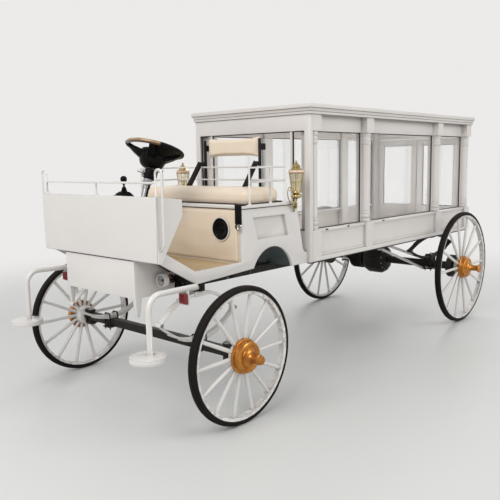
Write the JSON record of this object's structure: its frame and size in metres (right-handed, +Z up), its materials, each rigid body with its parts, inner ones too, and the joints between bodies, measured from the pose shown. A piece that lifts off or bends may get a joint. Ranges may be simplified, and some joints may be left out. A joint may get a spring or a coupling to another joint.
{
  "type": "glass-sided hearse carriage with its own drive and steering wheel",
  "caption": "White glass-sided hearse carriage on spoked wheels, with a driver's bench, steering wheel, brass lamps and hubs, sprung axles and rear doors.",
  "frame": {"origin": "middle of the whole carriage's footprint, on the ground", "axes": "+X forward, +Y to the carriage's left, +Z up"},
  "size_m": [4.247, 1.904, 1.869],
  "materials": {
    "white_paint": "satin",
    "white_wood": "satin paint",
    "black_paint": "gloss",
    "dark_liner": "matte",
    "cream_leather": "grained",
    "black_plastic": "matte",
    "tyre_rubber": "matte",
    "hub_brass": "polished",
    "lamp_brass": "polished",
    "bare_steel": "satin",
    "chrome": "polished",
    "red_lens": "gloss",
    "black_leather": "satin",
    "clear_glass": "clear"
  },
  "bodies": {
    "carriage": {"chassis_frame": "black_paint", "case_floor": "white_wood", "case_side_panels": "white_wood", "case_front_wall": "white_wood", "case_posts": "white_wood", "case_frieze": "white_wood", "case_roof": "white_wood", "side_glass": "clear_glass", "front_glass": "clear_glass", "door_hinges": "lamp_brass", "body_sides": "white_paint", "foot_floor": "white_paint", "seat_riser": "cream_leather", "seat_back_panel": "white_paint", "arch_liner": "dark_liner", "seat_board": "white_paint", "seat_cushion": "cream_leather", "backrest_pad": "cream_leather", "backrest_brackets": "black_paint", "seat_rail": "white_paint", "speaker": "black_plastic", "dash_box": "white_paint", "dash_rail": "white_paint", "front_locker": "white_paint", "head_lamps": "chrome", "marker_lamps": "red_lens", "steps": "white_paint", "carriage_lamps": "lamp_brass", "bier_deck": "white_wood", "riser_pad": "cream_leather", "seat_strap": "black_leather", "steering_column": "bare_steel", "control_lever": "black_plastic", "front_springs": "white_paint", "front_axle": "black_paint", "rear_springs": "black_paint", "rear_axle": "black_paint", "drive_motor": "bare_steel", "radius_rods": "white_paint"},
    "knuckle_left": {"knuckle_left": "black_paint"},
    "rear_door_left": {"door_left": "white_wood", "door_glass_left": "clear_glass"},
    "knuckle_right": {"knuckle_right": "black_paint"},
    "rear_door_right": {"door_right": "white_wood", "door_glass_right": "clear_glass"},
    "tie_rod": {"tie_rod": "bare_steel"},
    "steering_wheel": {"steering_wheel": "black_plastic"},
    "road_wheel_front_left": {"tyre_front_left": "tyre_rubber", "wheel_front_left": "white_paint", "hub_front_left": "hub_brass"},
    "road_wheel_front_right": {"tyre_front_right": "tyre_rubber", "wheel_front_right": "white_paint", "hub_front_right": "hub_brass"},
    "road_wheel_rear_left": {"tyre_rear_left": "tyre_rubber", "wheel_rear_left": "white_paint", "hub_rear_left": "hub_brass"},
    "road_wheel_rear_right": {"tyre_rear_right": "tyre_rubber", "wheel_rear_right": "white_paint", "hub_rear_right": "hub_brass"}
  },
  "joints": [
    {"name": "steer_left", "type": "hinge", "parent": "carriage", "child": "knuckle_left", "pos_m": [1.4955, 0.68, 0.4], "axis": [0, 0, 1], "range_deg": [-30, 30]},
    {"name": "steer_right", "type": "hinge", "parent": "carriage", "child": "knuckle_right", "pos_m": [1.4955, -0.68, 0.4], "axis": [0, 0, 1], "range_deg": [-30, 30]},
    {"name": "tie_rod_pivot", "type": "hinge", "parent": "knuckle_left", "child": "tie_rod", "pos_m": [1.3355, 0.68, 0.333], "axis": [0, 0, 1], "range_deg": [-30, 30]},
    {"name": "helm_turn", "type": "hinge", "parent": "carriage", "child": "steering_wheel", "pos_m": [1.4145, 0, 1.575], "axis": [-0.3256, 0, 0.9455], "range_deg": [-360, 360]},
    {"name": "roll_front_left", "type": "hinge", "parent": "knuckle_left", "child": "road_wheel_front_left", "pos_m": [1.4955, 0.797, 0.4], "axis": [0, 1, 0], "continuous": true},
    {"name": "roll_front_right", "type": "hinge", "parent": "knuckle_right", "child": "road_wheel_front_right", "pos_m": [1.4955, -0.797, 0.4], "axis": [0, 1, 0], "continuous": true},
    {"name": "roll_rear_left", "type": "hinge", "parent": "carriage", "child": "road_wheel_rear_left", "pos_m": [-1.4845, 0.77, 0.5], "axis": [0, 1, 0], "continuous": true},
    {"name": "roll_rear_right", "type": "hinge", "parent": "carriage", "child": "road_wheel_rear_right", "pos_m": [-1.4845, -0.77, 0.5], "axis": [0, 1, 0], "continuous": true},
    {"name": "door_left_swing", "type": "hinge", "parent": "carriage", "child": "rear_door_left", "pos_m": [-2.1075, 0.458, 1.25], "axis": [0, 0, -1], "range_deg": [0, 105]},
    {"name": "door_right_swing", "type": "hinge", "parent": "carriage", "child": "rear_door_right", "pos_m": [-2.1075, -0.458, 1.25], "axis": [0, 0, 1], "range_deg": [0, 105]}
  ],
  "couplings": [
    {"joint": "steer_right", "follows": "steer_left", "ratio": 1},
    {"joint": "tie_rod_pivot", "follows": "steer_left", "ratio": -1},
    {"joint": "helm_turn", "follows": "steer_left", "ratio": 12}
  ]
}
